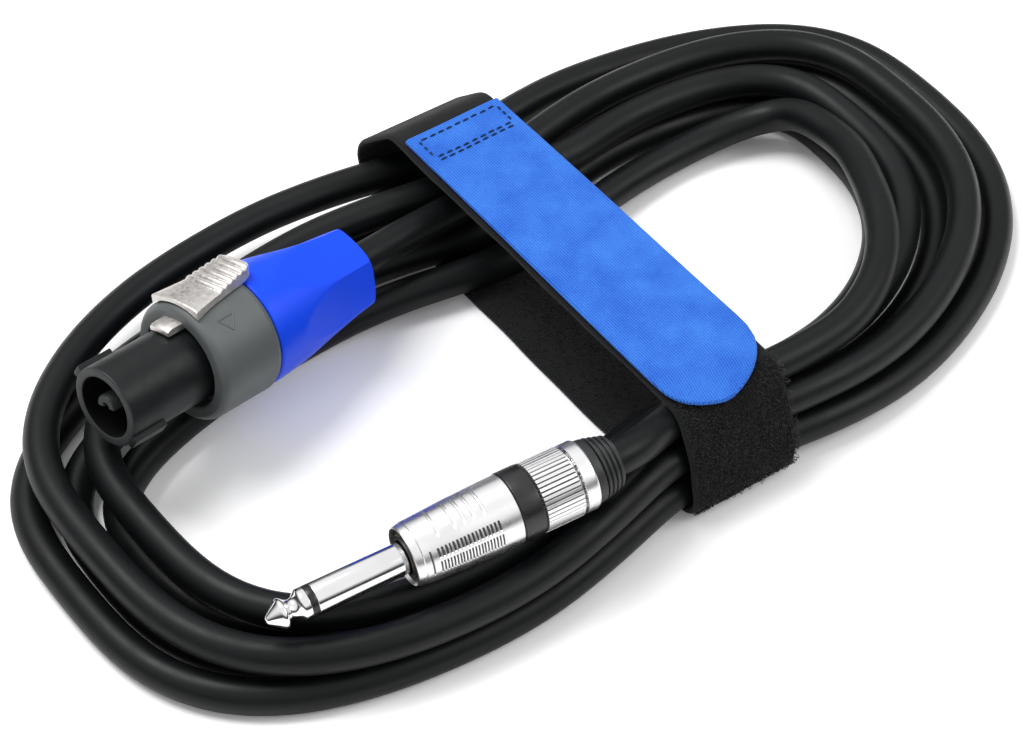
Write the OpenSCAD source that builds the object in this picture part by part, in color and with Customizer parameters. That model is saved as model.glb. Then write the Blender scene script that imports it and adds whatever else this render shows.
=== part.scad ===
// Two-core speaker lead, about three metres long, wound into a flat oval hank
// and held by a hook-and-loop tie. One end carries a twist-lock speaker
// connector and the other a 6.35 mm mono jack plug.
// The hank lies on z = 0 with its length along X. Each connector is drawn in
// its own frame, with +X pointing at its mating end, and then put in place.

/* [Cable] */
// Outside diameter of the cable
cable_d = 7.2; // [6.8:0.1:7.2]
// Diameter of one insulated core
core_d = 2.2; // [1.6:0.1:2.4]

/* [Hank] */
// Centre of the oval
oval_centre = [-3.9, 9.4]; // [-5:0.1:10]
// Roundness of the right end, 2 is an ellipse
right_power = 2.73; // [2.6:0.01:2.8]
// Roundness of the left end
left_power = 3.11; // [3:0.01:3.2]
// How far the two ends lean out of line
lean = 8.6; // [8:0.1:9]
// Far side, what the tie draws each loop in by, where along X, and over what half length
far_waist = [8.5, 11, 34.5]; // [4:0.1:36]
// The same on the near side
near_waist = [7.7, 4, 29]; // [4:0.1:36]
// Bottom layer, right end: first loop and step
bottom_right = [90.4, 13.6]; // [1:0.1:120]
// Bottom layer, far run: first loop and step
bottom_far = [22.6, 10.5]; // [1:0.1:120]
// Bottom layer, left end: first loop and step
bottom_left = [94.1, 7.8]; // [1:0.1:120]
// Bottom layer, near run: first loop and step
bottom_near = [49, 8.2]; // [1:0.1:120]
// Top layer, right end: first loop and step
top_right = [106.7, -13.7]; // [-20:0.1:120]
// Top layer, far run: first loop and step
top_far = [41.1, -10.6]; // [-20:0.1:120]
// Top layer, left end: first loop and step
top_left = [103.6, -10.7]; // [-20:0.1:120]
// Top layer, near run: first loop and step
top_near = [64.1, -8.5]; // [-20:0.1:120]
// First pass, laid over the others: its distance at the right end and near run
first_pass = [85, 46]; // [40:0.1:100]
// Height of the top layer above the bottom one
layer_rise = 7.8; // [7.8:0.1:8]

/* [Tie] */
// Width of the black band
band_w = 25; // [24:0.5:26]
// Thickness of the band and of the flap
band_t = 1.2; // [1:0.1:1.2]
// Width of the blue flap
flap_w = 24.5; // [24:0.5:25]
// Length of the blue flap
flap_l = 97.5; // [94:0.5:98]

/* [Speaker connector] */
// Diameter of the nose
nose_d = 16.8; // [16.6:0.1:16.9]
// Diameter of the socket in the nose
nose_bore_d = 12.8; // [12.6:0.1:12.8]
// Diameter of the grey housing
housing_d = 25.6; // [25.4:0.1:25.8]
// Diameter of the bushing at the housing
bushing_d = 25; // [24.8:0.1:25.2]
// Travel of the latch
latch_travel = 3; // [2:0.5:3]

/* [Jack plug] */
// Diameter of the shaft
jack_d = 6.35; // [6.3:0.05:6.4]
// Diameter of the barrel at the back
barrel_d = 14.2; // [14.1:0.1:14.3]
// Diameter of the barrel at the front
barrel_front_d = 12.4; // [12.2:0.1:12.6]
// Diameter of the knurled nut
nut_d = 14.2; // [14:0.1:14.4]

/* [Hidden] */

fit_gap = 0.3;      // clearance between pieces that move past each other
slip_gap = 0.05;    // clearance of a sliding fit
bury = 1;           // how far a cutter runs past what it cuts
band_x = -5;        // left edge of the black band

// ---- the hank: a route from a formula -------------------------------------

loop_rings = 24;
hank_sides = 6;
turn_start = 0.2;           // turns are counted from the middle of the near run
turn_end = 5.44;
start_turns = [0.16, 0.3];  // the first pass comes down from over the top layer,
fall_turns = [0.20, 0.42];  // and then from the top layer to the bottom
climb_turns = [3.33, 3.67]; // the spiral reverses and climbs, along the far run
even_rings = 6;             // degrees, sets the rings closer along the runs
climb_swing = 2.6;          // extra room beside the climb
climb_width = 0.16;
floor_cut = cable_d / 10;   // the bottom loops are cut flat by this much
band_lift_w = [20, 60];     // the loops rise over the band between these distances

BOTTOM = [concat(bottom_right, 1.25), concat(bottom_far, 0.5), concat(bottom_left, 0.75), concat(bottom_near, 1)];
TOP = [concat(top_right, 4.25), concat(top_far, 4.5), concat(top_left, 3.75), concat(top_near, 4)];
RIGHT = 0;
FAR = 1;
LEFT = 2;
NEAR = 3;

function smooth(u) = let (v = min(max(u, 0), 1)) v * v * (3 - 2 * v);
function ramp(range, t) = smooth((t - range[0]) / (range[1] - range[0]));
function mix(a, b, f) = a + (b - a) * f;
function unit(v) = v / norm(v);
function lane(row, t) = row[0] + row[1] * (t - row[2]);

// Distance of the cable from the oval's centre, on one side, at turn t
function reach(side, t) =
    t < 0.5 && side == RIGHT ? first_pass[0] :
    t < 0.5 && side == NEAR ? first_pass[1] :
    mix(lane(BOTTOM[side], t), lane(TOP[side], t), t < 2 ? 0 : ramp(climb_turns, t))
    + (side == FAR ? climb_swing * exp(-pow((t - 3.5) / climb_width, 2)) : 0);

function layer(t) = t < 2 ? 2 - ramp(start_turns, t) - ramp(fall_turns, t) : ramp(climb_turns, t);
function band_lift(x) = (band_t + fit_gap + floor_cut) * (1 - ramp(band_lift_w, abs(x - band_x - band_w / 2)));

function hank_point(t) =
    let (
        around = 360 * (t - 0.25),
        a = around + even_rings * sin(2 * around),
        c = cos(a),
        s = sin(a),
        power = 2 / (c >= 0 ? right_power : left_power),
        along = sign(c) * pow(abs(c), power),
        across = sign(s) * pow(abs(s), power),
        x = oval_centre[0] + along * reach(c >= 0 ? RIGHT : LEFT, t),
        tie_waist = s >= 0 ? far_waist : near_waist,
        drawn_in = across * tie_waist[0] * exp(-pow((x - tie_waist[1]) / tie_waist[2], 2)),
        y = oval_centre[1] + across * reach(s >= 0 ? FAR : NEAR, t) + lean * c - drawn_in
    )
    [x, y, cable_d / 2 - floor_cut + layer_rise * layer(t) + band_lift(x)];

hank_turns = concat(
    [turn_start],
    [for (k = [ceil(turn_start * loop_rings) : floor(turn_end * loop_rings)]) k / loop_rings],
    [turn_end]
);
nudge = 0.01;       // a short piece of a turn, to find the direction of an end
start_dir = unit(hank_point(turn_start + nudge) - hank_point(turn_start));
end_dir = unit(hank_point(turn_end) - hank_point(turn_end - nudge));
hank_start = hank_point(turn_start) - start_dir * cable_d;
hank_end = hank_point(turn_end) + end_dir * cable_d;
hank_route = concat([hank_start], [for (t = hank_turns) hank_point(t)], [hank_end]);

// Least distance between the hank's surface and itself, on points against stretches
function stretch_gap(p, a, b) =
    let (d = b - a, f = min(max((p - a) * d / (d * d), 0), 1))
    norm(p - a - d * f) - cable_d;
self_gap = min([
    for (i = [0 : len(hank_route) - 1], j = [0 : len(hank_route) - 2])
        if (abs(i - j) > 6 && abs(i - j - 1) > 6)
            stretch_gap(hank_route[i], hank_route[j], hank_route[j + 1])
]);
echo("least gap of the hank to itself, mm", self_gap);

// ---- where the pieces stand ------------------------------------------------

speaker_back = [-30.7, 29.1, 18.2];
speaker_turn = [14, -6.8, 191.6];
jack_back = [-21.3, -49.2, 23.5];
jack_turn = [0, 2.7, 174.8];
flap_x = -4.3;
flap_y = 47;        // the sewn end of the flap

function turned(v, turn) =
    let (
        y = v[1] * cos(turn[0]) - v[2] * sin(turn[0]),
        w = v[1] * sin(turn[0]) + v[2] * cos(turn[0]),
        x = v[0] * cos(turn[1]) + w * sin(turn[1]),
        z = -v[0] * sin(turn[1]) + w * cos(turn[1])
    )
    [x * cos(turn[2]) - y * sin(turn[2]), x * sin(turn[2]) + y * cos(turn[2]), z];
function on_speaker(v) = speaker_back + turned(v, speaker_turn);
function on_jack(v) = jack_back + turned(v, jack_turn);

module place_speaker() { translate(speaker_back) rotate(speaker_turn) children(); }
module place_jack() { translate(jack_back) rotate(jack_turn) children(); }

// The leads, from inside each connector to the hank
lead_sides = 10;
lead_in = 3;                // each lead meets the hank straight over this length
speaker_jacket_end = 24;    // the jacket is stripped from here to the terminals
jack_jacket_end = 20;
speaker_lead_route = concat(
    [for (x = [speaker_jacket_end, 8, -6]) on_speaker([x, 0, 0])],
    [[-14, 33, 15.6], [-2, 35, 14.2], [14, 36, 13.6]],
    [hank_end + lead_in * end_dir, hank_end]
);
jack_lead_route = concat(
    [for (x = [jack_jacket_end, 8, -3]) on_jack([x, 0, 0])],
    [
        [-14.5, -48.7, 22.9], [-10, -46.9, 21.6], [-5, -44.6, 19.8], [3, -43.6, 19.4], [16, -43.4, 19.3],
        [30, -43.6, 19], [42, -42.2, 18.8], [51, -38.6, 19.4], [58.6, -33.2, 19.8], [64.8, -26.4, 19.8],
        [69.2, -19.4, 19.6]
    ],
    [hank_start - lead_in * start_dir, hank_start]
);

function tangent(path, i) =
    i == 0 ? unit(path[1] - path[0]) :
    i == len(path) - 1 ? unit(path[i] - path[i - 1]) :
    unit(unit(path[i + 1] - path[i]) + unit(path[i] - path[i - 1]));

function ring(path, i, r, sides) =
    let (t = tangent(path, i), side = unit(cross(t, [0, 0, 1])), up = cross(side, t))
    [for (k = [0 : sides - 1]) path[i] + r * (sin(360 * k / sides) * side - cos(360 * k / sides) * up)];

// A tube with flat ends along a path
module tube(path, r, sides) {
    rings = len(path);
    points = [for (i = [0 : rings - 1]) each ring(path, i, r, sides)];
    walls = [
        for (i = [0 : rings - 2], k = [0 : sides - 1])
            let (a = i * sides + k, b = i * sides + (k + 1) % sides)
            each [[a, b, b + sides], [a, b + sides, a + sides]]
    ];
    last = (rings - 1) * sides;
    ends = [for (k = [1 : sides - 2]) each [[0, k + 1, k], [last, last + k, last + k + 1]]];
    polyhedron(points, concat(walls, ends));
}

module cable_hank() {
    reach_all = 400;
    color([0.10, 0.11, 0.12])
        intersection() {
            tube(hank_route, cable_d / 2, hank_sides);
            translate([-reach_all / 2, -reach_all / 2, 0]) cube(reach_all);
        }
}

module speaker_lead() {
    color([0.10, 0.11, 0.12]) tube(speaker_lead_route, cable_d / 2, lead_sides);
}

module jack_lead() {
    color([0.10, 0.11, 0.12]) tube(jack_lead_route, cable_d / 2, lead_sides);
}

// A straight rod between two points of one frame
module rod(a, b, d) {
    v = b - a;
    translate(a)
        rotate([0, acos(v[2] / norm(v)), atan2(v[1], v[0])])
            cylinder(h = norm(v), d = d, $fn = 24);
}

// ---- shared shapes of the connectors, round about X ------------------------

module along_x(x) { translate([x, 0, 0]) rotate([0, 90, 0]) children(); }
module rod_x(x0, x1, d) { along_x(x0) cylinder(h = x1 - x0, d = d, $fn = 96); }
module tube_x(x0, x1, d, bore) {
    difference() {
        rod_x(x0, x1, d);
        rod_x(x0 - bury, x1 + bury, bore);
    }
}
// Turned from an outline of [distance along X, radius]
module turned_x(outline) {
    rotate([0, 90, 0]) rotate([0, 0, 180])
        rotate_extrude($fn = 96) polygon([for (p = outline) [p[1], p[0]]]);
}

// ---- speaker connector -------------------------------------------------------

nose_len = 19.6;
housing_len = 15.4;
bushing_len = 30;
housing_front = bushing_len + housing_len;
nose_front = housing_front + nose_len;
carrier_back = 35;
carrier_d = 15.6;
thread_d = 20.6;
nose_depth = 17.5;
contact_y = 5.55;
contact_t = 0.7;
contact_w = 3;
block = [5.5, 3.6, 5];      // terminal block
block_y = 3;
terminal_screw_d = 2.2;
lug = [8.2, 3, 1];          // ridge on the nose
lug_angles = [49, 229];
core_y = 1.7;
core_gap = 0.8;             // from the cut jacket to where a core is drawn
clamped = 0.8;              // how far a core goes into its terminal

module speaker_insert() {
    key_wall = 1.8;
    key_d = 4.8;
    key_low = 0.2;
    key_len = nose_depth - 0.4;
    color([0.16, 0.17, 0.18]) place_speaker() {
        difference() {
            union() {
                rod_x(carrier_back, housing_front, carrier_d);
                rod_x(housing_front, nose_front, nose_d);
                for (a = lug_angles)
                    rotate([a, 0, 0])
                        translate([nose_front - lug[0], -lug[1] / 2, nose_d / 2 - bury])
                            cube([lug[0], lug[1], lug[2] + bury]);
            }
            rod_x(nose_front - nose_depth, nose_front + bury, nose_bore_d);
            for (side = [-1, 1])
                translate([
                    carrier_back - bury,
                    side * contact_y - contact_t / 2 - slip_gap,
                    -contact_w / 2 - slip_gap
                ])
                    cube([
                        nose_front - nose_depth - carrier_back + 2 * bury,
                        contact_t + 2 * slip_gap,
                        contact_w + 2 * slip_gap
                    ]);
        }
        intersection() {
            tube_x(nose_front - nose_depth - bury, nose_front - nose_depth + key_len, key_d, key_d - 2 * key_wall);
            translate([0, -key_d, -key_low]) cube([nose_front, 2 * key_d, key_d]);
        }
    }
}

module speaker_contact(side) {
    blade_end = nose_front - 9;
    color([0.80, 0.72, 0.45]) place_speaker()
        difference() {
            union() {
                translate([carrier_back - block[0], side * (block_y + block[1] / 2) - block[1] / 2, -block[2] / 2])
                    cube(block);
                translate([carrier_back - bury, side * contact_y - contact_t / 2, -contact_w / 2])
                    cube([blade_end - carrier_back + bury, contact_t, contact_w]);
            }
            translate([carrier_back - block[0] / 2, side * (block_y + block[1] / 2), 0])
                cylinder(h = block[2], d = terminal_screw_d, $fn = 32);
        }
}

module speaker_contact_plus() { speaker_contact(1); }
module speaker_contact_minus() { speaker_contact(-1); }

module speaker_terminal_screws() {
    screw_len = 2.6;
    color([0.7, 0.7, 0.72]) place_speaker()
        for (side = [-1, 1])
            translate([carrier_back - block[0] / 2, side * (block_y + block[1] / 2), 0.2])
                cylinder(h = screw_len, d = terminal_screw_d - 2 * slip_gap, $fn = 32);
}

// The latch stands in a slot of the housing, above the nose
latch_slot_w = 6.6;
latch_web = [5, 6];         // length and width of the web in the slot
latch_web_x = 36;
latch_z = nose_d / 2 + 0.4;
slot_back = 31.5;
spring_z = 10.7;
spring_d = 2;

module speaker_housing() {
    color([0.38, 0.39, 0.40]) place_speaker()
        difference() {
            union() {
                turned_x([
                    [bushing_len + slip_gap, 0], [housing_front, 0], [housing_front, housing_d / 2 - 1],
                    [housing_front - 1, housing_d / 2], [bushing_len + slip_gap, housing_d / 2]
                ]);
                rod_x(22, bushing_len + bury, thread_d - 2 * fit_gap);
            }
            rod_x(22 - bury, housing_front + bury, carrier_d + 2 * slip_gap);
            translate([slot_back, -latch_slot_w / 2, latch_z - 0.3])
                cube([housing_front, latch_slot_w, housing_d]);
        }
}

// Half of the thumb pad's outline from above, from its front to its rounded back
LATCH_HALF = [[44.5, 6.65], [38.6, 5.45], [34, 4.8], [28.8, 4.2], [27.2, 3], [26.8, 1.6]];

module speaker_latch() {
    pad_back = 26.8;
    pad_front = 44.5;
    pad_under = 10.8;
    pad_top = 13.7;
    pad_tall = 20;
    ridges = 6;
    ridge_x = 37;
    ridge_step = 1.6;
    tongue_w = 5.3;
    tongue_t = 1.5;
    tongue_front = housing_front + 3.7;
    color([0.84, 0.82, 0.79]) place_speaker()
        difference() {
            union() {
                intersection() {
                    translate([0, pad_tall / 2, 0]) rotate([90, 0, 0])
                        linear_extrude(height = pad_tall)
                            polygon(concat(
                                [[pad_front, pad_under], [pad_front - 0.7, pad_top + 0.2]],
                                [for (k = [0 : ridges - 1]) each [
                                    [ridge_x - k * ridge_step, pad_top + 0.22 * k],
                                    [ridge_x - 0.5 - k * ridge_step, pad_top + 0.22 * k + 0.6]
                                ]],
                                [[pad_back + 0.8, pad_top + 1.3], [pad_back, pad_top], [pad_back, pad_under]]
                            ));
                    linear_extrude(height = pad_tall)
                        polygon(concat(LATCH_HALF, [for (k = [len(LATCH_HALF) - 1 : -1 : 0]) [LATCH_HALF[k][0], -LATCH_HALF[k][1]]]));
                }
                translate([latch_web_x, -latch_web[1] / 2, latch_z])
                    cube([latch_web[0], latch_web[1], pad_top - latch_z - 1]);
                translate([latch_web_x, -tongue_w / 2, latch_z])
                    cube([tongue_front - latch_web_x, tongue_w, tongue_t]);
            }
            difference() {
                rod_x(pad_back - 4, pad_front + bury, housing_d + 2 * fit_gap);
                translate([latch_web_x, -latch_web[1] / 2, 0])
                    cube([nose_front, latch_web[1], housing_d]);
            }
            translate([latch_web_x - bury, 0, spring_z]) rotate([0, 90, 0])
                cylinder(h = latch_travel + 2.2, d = spring_d + 0.4, $fn = 32);
        }
}

module speaker_latch_spring() {
    color([0.75, 0.75, 0.77]) place_speaker()
        translate([slot_back + slip_gap, 0, spring_z]) rotate([0, 90, 0])
            difference() {
                cylinder(h = latch_web_x - slot_back + 1, d = spring_d, $fn = 32);
                translate([0, 0, -bury]) cylinder(h = 20, d = spring_d - 0.9, $fn = 32);
            }
}

// Fingers that close on the cable when the nut behind them is turned
module chuck(x0, x1, back_d, front_d, fingers) {
    slit = 0.9;
    difference() {
        turned_x([[x0, 0], [x0, back_d / 2], [x0 + 2.5, front_d / 2], [x1, front_d / 2], [x1, 0]]);
        rod_x(x0 - bury, x1 + bury, cable_d + 4 * slip_gap);
        for (k = [0 : fingers - 1])
            rotate([k * 360 / fingers, 0, 0])
                translate([x0 - bury, 0, -slit / 2])
                    cube([(x1 - x0) * 0.7, front_d, slit]);
    }
}

module speaker_chuck() {
    color([0.85, 0.85, 0.82]) place_speaker() chuck(9.5, 21.5, 12, 17, 6);
}

bushing_hole_d = cable_d + 1.2;
grips = 6;                  // tilted flats on the bushing
grip_turn = -91;            // where round the bushing the first one is
grip_front = [22.5, 12.1];  // distance along X, and radius, where a flat starts
grip_tilt = 9.65;

module speaker_bushing() {
    cutter = [30, 30, 8];
    color([0.10, 0.25, 0.95]) place_speaker()
        difference() {
            turned_x([
                [0, bushing_hole_d / 2], [0, 8.3], [1, 9.7], [3, 10.1],
                [12, 10.9], [19, 11.8], [28.5, bushing_d / 2], [bushing_len, bushing_d / 2],
                [bushing_len, thread_d / 2 + slip_gap], [21.8, thread_d / 2 + slip_gap],
                [21.8, 9], [12, 9], [9, 6.6], [9, bushing_hole_d / 2]
            ]);
            for (k = [0 : grips - 1])
                rotate([grip_turn + k * 360 / grips, 0, 0])
                    translate([grip_front[0], 0, grip_front[1]])
                        rotate([0, -grip_tilt, 0])
                            translate([-cutter[0], -cutter[1] / 2, 0]) cube(cutter);
        }
}

module core(a, b, tint) { color(tint) rod(a, b, core_d); }
RED = [0.75, 0.08, 0.08];
BLACK = [0.05, 0.05, 0.05];
module speaker_core(side, tint) {
    core(
        on_speaker([speaker_jacket_end + core_gap, side * core_y, 0]),
        on_speaker([carrier_back - block[0] + clamped, side * (block_y + block[1] / 2), 0]),
        tint
    );
}
module speaker_core_red() { speaker_core(1, RED); }
module speaker_core_black() { speaker_core(-1, BLACK); }

// ---- jack plug -----------------------------------------------------------------

boot_len = 6.5;
smooth_len = 3.1;
knurl_len = 8.8;
ring_len = 4.6;
barrel_len = 22.3;
shaft_len = 28.5;
nut_front = boot_len + smooth_len + knurl_len;
barrel_back = nut_front + ring_len;
barrel_front = barrel_back + barrel_len;
jack_front = barrel_front + shaft_len;
tip_len = 8.4;
ring_gap = 1.4;             // the insulating ring between tip and sleeve
core_rod_d = 2.2;
insulator_d = 4.2;
jack_thread_d = 12;
flange_back = barrel_front - 7.5;
rod_back = 29;              // back end of the rod through the plug
lug_t = 0.8;
sleeve_lug_x = 36.6;
shaft_recess = 0.4;         // the barrel's mouth stands clear of the shaft by this much

module jack_tip() {
    color([0.86, 0.86, 0.87]) place_jack() {
        turned_x([
            [jack_front, 0], [jack_front - 0.2, 0.7], [jack_front - 3.2, 3], [jack_front - 3.7, 3],
            [jack_front - 5.5, 2], [jack_front - 6.2, 2.1], [jack_front - 7.2, jack_d / 2],
            [jack_front - tip_len, jack_d / 2], [jack_front - tip_len, core_rod_d / 2],
            [rod_back, core_rod_d / 2], [rod_back, 0]
        ]);
    }
}

module jack_insulator() {
    color([0.05, 0.05, 0.05]) place_jack() {
        ring_x = jack_front - tip_len - ring_gap;
        tube_x(ring_x, jack_front - tip_len, jack_d, core_rod_d + 0.1);
        tube_x(rod_back + 4, ring_x + 0.5, insulator_d, core_rod_d + 0.1);
    }
}

module jack_sleeve() {
    color([0.86, 0.86, 0.87]) place_jack()
        difference() {
            turned_x([
                [rod_back + 5, 0], [rod_back + 5, 3.6], [flange_back, 3.6], [flange_back, 5.4],
                [barrel_front - 2.2, 5.4], [barrel_front - 2.2, jack_d / 2 - 0.3], [barrel_front, jack_d / 2 - 0.3],
                [barrel_front, jack_d / 2], [jack_front - tip_len - ring_gap, jack_d / 2],
                [jack_front - tip_len - ring_gap, 0]
            ]);
            rod_x(rod_back, jack_front, insulator_d + 0.1);
        }
}

module jack_lug_washer() {
    color([0.80, 0.70, 0.45]) place_jack() tube_x(rod_back + 2.2, rod_back + 3.9, 7, core_rod_d + 0.1);
}

module jack_tip_lug() {
    color([0.80, 0.78, 0.70]) place_jack() {
        tube_x(rod_back + 1.3, rod_back + 2.1, 5.4, core_rod_d + 0.1);
        translate([rod_back - 4.5, 1.8, -1.2]) cube([6.6, 0.7, 2.4]);
    }
}

module jack_sleeve_lug() {
    lug_w = 4;
    lug_z = -4.4;
    color([0.80, 0.78, 0.70]) place_jack()
        difference() {
            union() {
                rod_x(sleeve_lug_x, sleeve_lug_x + lug_t, 9.6);
                translate([barrel_back + 1.9, -lug_w / 2, lug_z - lug_t / 2])
                    cube([sleeve_lug_x + lug_t - barrel_back - 1.9, lug_w, lug_t]);
            }
            rod_x(sleeve_lug_x - bury, sleeve_lug_x + 2 * bury, 7.3);
        }
}

module jack_barrel() {
    wall = 1;
    color([0.84, 0.84, 0.85]) place_jack()
        turned_x([
            [15, 4.9], [15, jack_thread_d / 2 - fit_gap], [barrel_back, jack_thread_d / 2 - fit_gap],
            [barrel_back, barrel_d / 2],
            [barrel_front - 3.4, barrel_front_d / 2 + 0.2], [barrel_front - 1, barrel_front_d / 2 - 0.6],
            [barrel_front - 0.1, barrel_front_d / 2 - 1.8],
            [barrel_front - 0.1, jack_d / 2 + shaft_recess], [barrel_front - 2.1, jack_d / 2 + shaft_recess],
            [barrel_front - 2.1, barrel_front_d / 2 - wall + 0.3], [barrel_back + 3, barrel_d / 2 - wall],
            [barrel_back + 1, 4.9]
        ]);
}

module jack_coding_ring() {
    color([0.07, 0.07, 0.07]) place_jack()
        tube_x(nut_front + 0.1, barrel_back - 0.05, 14.4, jack_thread_d - 0.4);
}

module jack_chuck() {
    color([0.85, 0.85, 0.82]) place_jack() chuck(9.6, 14.6, 9.6, 11.4, 6);
}

module jack_nut() {
    knurls = 40;
    knurl_d = 0.5;
    color([0.84, 0.84, 0.85]) place_jack()
        difference() {
            turned_x([
                [boot_len, 0], [boot_len, 6.6], [boot_len + 0.4, 7],
                [boot_len + smooth_len - 0.3, 7], [boot_len + smooth_len, 6.7],
                [boot_len + smooth_len + 0.3, nut_d / 2], [nut_front - 0.4, nut_d / 2],
                [nut_front, nut_d / 2 - 0.4], [nut_front, 0]
            ]);
            rod_x(boot_len - bury, nut_front, 10.1);
            rod_x(9.3, nut_front + bury, jack_thread_d);
            for (k = [0 : knurls - 1])
                rotate([k * 360 / knurls, 0, 0])
                    translate([boot_len + smooth_len + 0.8, 0, nut_d / 2 + 0.05]) rotate([0, 90, 0])
                        cylinder(h = knurl_len - 1.8, d = knurl_d, $fn = 16);
        }
}

module jack_boot() {
    ribs = 4;
    rib_step = 1.1;
    color([0.06, 0.06, 0.06]) place_jack()
        difference() {
            turned_x(concat(
                [[9.2, 0], [9.2, 5], [boot_len, 5], [boot_len, 6.6], [ribs * rib_step + 0.3, 6.4]],
                [for (k = [ribs - 1 : -1 : 0]) each [
                    [(k + 0.9) * rib_step, 5.3 + 0.3 * k], [(k + 0.7) * rib_step, 4.7 + 0.3 * k],
                    [(k + 0.4) * rib_step, 4.7 + 0.3 * k], [(k + 0.2) * rib_step, 5.3 + 0.3 * k]
                ]],
                [[0, 5], [0, 0]]
            ));
            rod_x(-bury, 10, cable_d + 4 * slip_gap);
        }
}

module jack_core_red() {
    core(on_jack([jack_jacket_end + core_gap, core_y, 0]), on_jack([rod_back - 2, 2.5 + core_d / 2 - 0.2, 0]), RED);
}
module jack_core_black() {
    core(on_jack([jack_jacket_end + core_gap, -core_y, -0.4]), on_jack([rod_back - 2, -0.8, -3.1]), BLACK);
}

// ---- tie -------------------------------------------------------------------------

// The band is pulled tight round these rolls of cable, [y, z, radius], so its inner
// outline is the string round them
tie_top = 24;
TIE_ROLLS = [
    [-49.9, 5.3, 4.1], [-48.6, 12.9, 4], [-44.8, 19.9, 4.1],
    [50.5, 20, 4], [57.8, 10.3, 6.6], [56.2, 5.2, 4]
];
tie_step = 7.5;

function roll_reach(i, u) = [TIE_ROLLS[i][0], TIE_ROLLS[i][1]] * u + TIE_ROLLS[i][2];
function outer_roll(u, best = 0, i = 1) =
    i == len(TIE_ROLLS) ? best :
    outer_roll(u, roll_reach(i, u) > roll_reach(best, u) ? i : best, i + 1);
module tie_outline(grow) {
    polygon([
        for (a = [0 : tie_step : 360 - tie_step])
            let (u = [cos(a), sin(a)], roll = TIE_ROLLS[outer_roll(u)])
            [roll[0], roll[1]] + (roll[2] + grow) * u
    ]);
}
// Extruded along X from a section drawn in [y, z]
module along_band(x, w) {
    translate([x, 0, 0]) rotate([90, 0, 90]) linear_extrude(height = w) children();
}

module tie_band() {
    color([0.08, 0.08, 0.08])
        along_band(band_x, band_w)
            difference() {
                tie_outline(band_t);
                tie_outline(0);
            }
}

seam_l = 11;            // the sewn length at the end of the flap
pad_t = 0.4;            // the hook pad under the flap
flap_z = tie_top + band_t + pad_t;
flap_hinge_y = flap_y - seam_l;
hinge_gap = 0.2;

module tie_flap_end() {
    color([0.30, 0.55, 0.93])
        translate([flap_x, flap_hinge_y, tie_top + band_t + slip_gap])
            cube([flap_w, seam_l, pad_t + band_t - slip_gap]);
}

module tie_flap() {
    tip_r = 11;
    length = flap_l - seam_l - hinge_gap;
    color([0.30, 0.55, 0.93])
        translate([flap_x, flap_hinge_y - hinge_gap - length, flap_z])
            linear_extrude(height = band_t)
                hull() {
                    translate([0, tip_r]) square([flap_w, length - tip_r]);
                    translate([flap_w / 2, tip_r]) scale([flap_w / 2, tip_r]) circle(r = 1, $fn = 32);
                }
}

module tie_hook_pad() {
    pad = [19, 62, pad_t - slip_gap];
    color([0.12, 0.12, 0.12])
        translate([flap_x + (flap_w - pad[0]) / 2, flap_hinge_y - pad[1] - 10, flap_z - pad[2]])
            cube(pad);
}

// Thread of the seam, two rows across the flap and one down each side
module tie_stitching() {
    stitch = [1.9, 0.5, 0.3];
    across = 8;
    down = 3;
    inset = 2.4;
    top = flap_z + band_t + slip_gap;
    pitch = (flap_w - 2 * inset - stitch[0]) / (across - 1);
    row_y = [flap_hinge_y + 1, flap_y - 2];
    down_pitch = (row_y[1] - row_y[0]) / (down + 1);
    color([0.10, 0.25, 0.45]) {
        for (y = row_y, k = [0 : across - 1])
            translate([flap_x + inset + k * pitch, y, top]) cube(stitch);
        for (x = [flap_x + inset, flap_x + flap_w - inset - stitch[1]], k = [1 : down])
            translate([x, row_y[0] + k * down_pitch - stitch[0] / 2 + 0.3, top])
                cube([stitch[1], stitch[0], stitch[2]]);
    }
}

cable_hank();
speaker_lead();
jack_lead();
speaker_core_red();
speaker_core_black();
jack_core_red();
jack_core_black();
speaker_insert();
speaker_contact_plus();
speaker_contact_minus();
speaker_terminal_screws();
speaker_housing();
speaker_latch();
speaker_latch_spring();
speaker_chuck();
speaker_bushing();
jack_tip();
jack_insulator();
jack_sleeve();
jack_lug_washer();
jack_tip_lug();
jack_sleeve_lug();
jack_barrel();
jack_coding_ring();
jack_chuck();
jack_nut();
jack_boot();
tie_band();
tie_flap();
tie_flap_end();
tie_hook_pad();
tie_stitching();
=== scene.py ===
import math
import random

import bmesh
import bpy
import numpy as np
from mathutils import Euler, Matrix, Vector


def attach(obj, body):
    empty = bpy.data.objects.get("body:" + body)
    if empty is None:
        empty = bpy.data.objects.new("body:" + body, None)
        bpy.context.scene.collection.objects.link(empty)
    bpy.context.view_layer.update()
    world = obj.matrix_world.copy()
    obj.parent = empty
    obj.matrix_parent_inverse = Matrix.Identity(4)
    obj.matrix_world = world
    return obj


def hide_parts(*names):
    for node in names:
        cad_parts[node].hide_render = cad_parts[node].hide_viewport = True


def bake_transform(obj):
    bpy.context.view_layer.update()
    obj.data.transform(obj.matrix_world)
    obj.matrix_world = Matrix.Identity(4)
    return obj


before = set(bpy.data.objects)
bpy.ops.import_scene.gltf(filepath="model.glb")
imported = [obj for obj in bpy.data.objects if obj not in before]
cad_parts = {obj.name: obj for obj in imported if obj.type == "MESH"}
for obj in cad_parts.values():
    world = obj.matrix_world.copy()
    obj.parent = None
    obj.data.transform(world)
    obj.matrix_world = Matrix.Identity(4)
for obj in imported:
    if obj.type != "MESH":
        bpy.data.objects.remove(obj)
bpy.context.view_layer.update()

MM = 0.001          # every length below is in millimetres unless its name ends in _m
CABLE_D = 7.2
BAND_T = 1.2
BAND_X = (-5.0, 20.0)
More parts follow.
